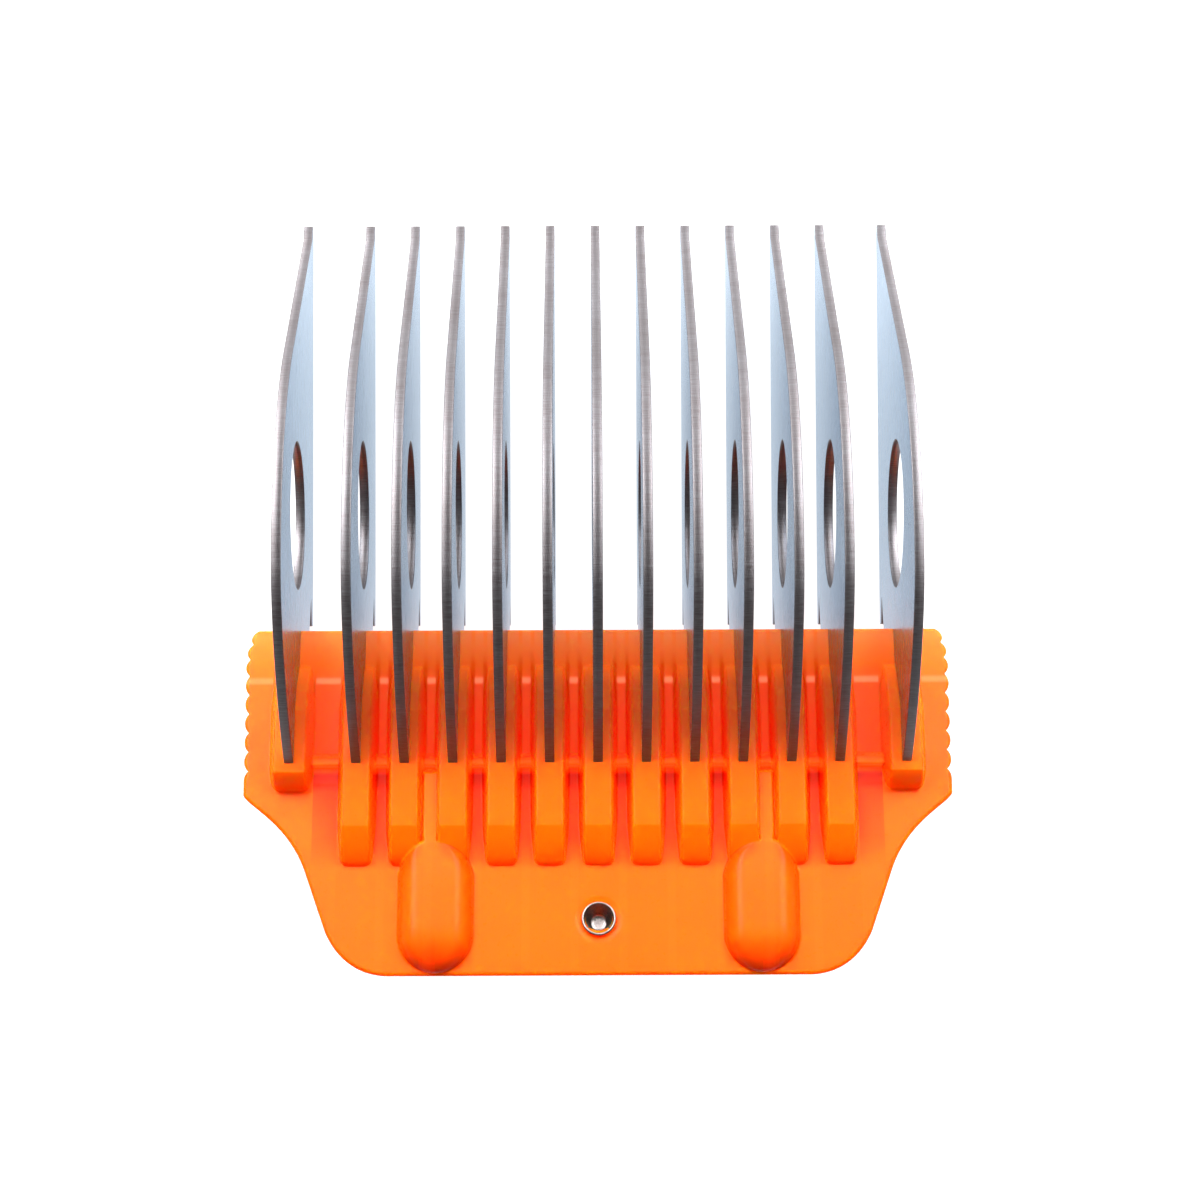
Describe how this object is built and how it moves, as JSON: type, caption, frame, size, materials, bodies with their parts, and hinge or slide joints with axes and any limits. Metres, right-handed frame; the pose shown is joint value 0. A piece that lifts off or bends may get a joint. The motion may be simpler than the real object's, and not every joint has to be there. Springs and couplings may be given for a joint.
{
  "type": "clipper guard comb",
  "caption": "Wide clip-on guard comb for a hair clipper blade: sheet-steel teeth with round windows in a ribbed moulded body, with a riveted latch spring behind.",
  "frame": {"origin": "centre of the bounding box in plan, on the plane that the straight rear edges of the teeth lie on", "axes": "+X across the comb, +Y towards the tooth tips, +Z away from the blade towards the skin"},
  "size_m": [0.0676, 0.0741, 0.0318],
  "materials": {
    "body_plastic": "satin moulded orange plastic, slightly translucent",
    "tooth_steel": "fine brushed sheet steel with cut edges",
    "rivet_steel": "bright rolled rim, satin cup",
    "spring_steel": "satin spring steel"
  },
  "bodies": {
    "comb": {"comb_body": "body_plastic", "tooth_01": "tooth_steel", "tooth_02": "tooth_steel", "tooth_03": "tooth_steel", "tooth_04": "tooth_steel", "tooth_05": "tooth_steel", "tooth_06": "tooth_steel", "tooth_07": "tooth_steel", "tooth_08": "tooth_steel", "tooth_09": "tooth_steel", "tooth_10": "tooth_steel", "tooth_11": "tooth_steel", "tooth_12": "tooth_steel", "tooth_13": "tooth_steel", "rivet": "rivet_steel", "latch_spring_foot": "spring_steel"},
    "latch": {"latch_spring_arm": "spring_steel"}
  },
  "joints": [
    {"name": "latch_flex", "type": "hinge", "parent": "comb", "child": "latch", "pos_m": [0, -0.02399, 0.01447], "axis": [-1, 0, 0], "range_deg": [0, 7], "stiffness_Nm_per_rad": 1.5}
  ]
}
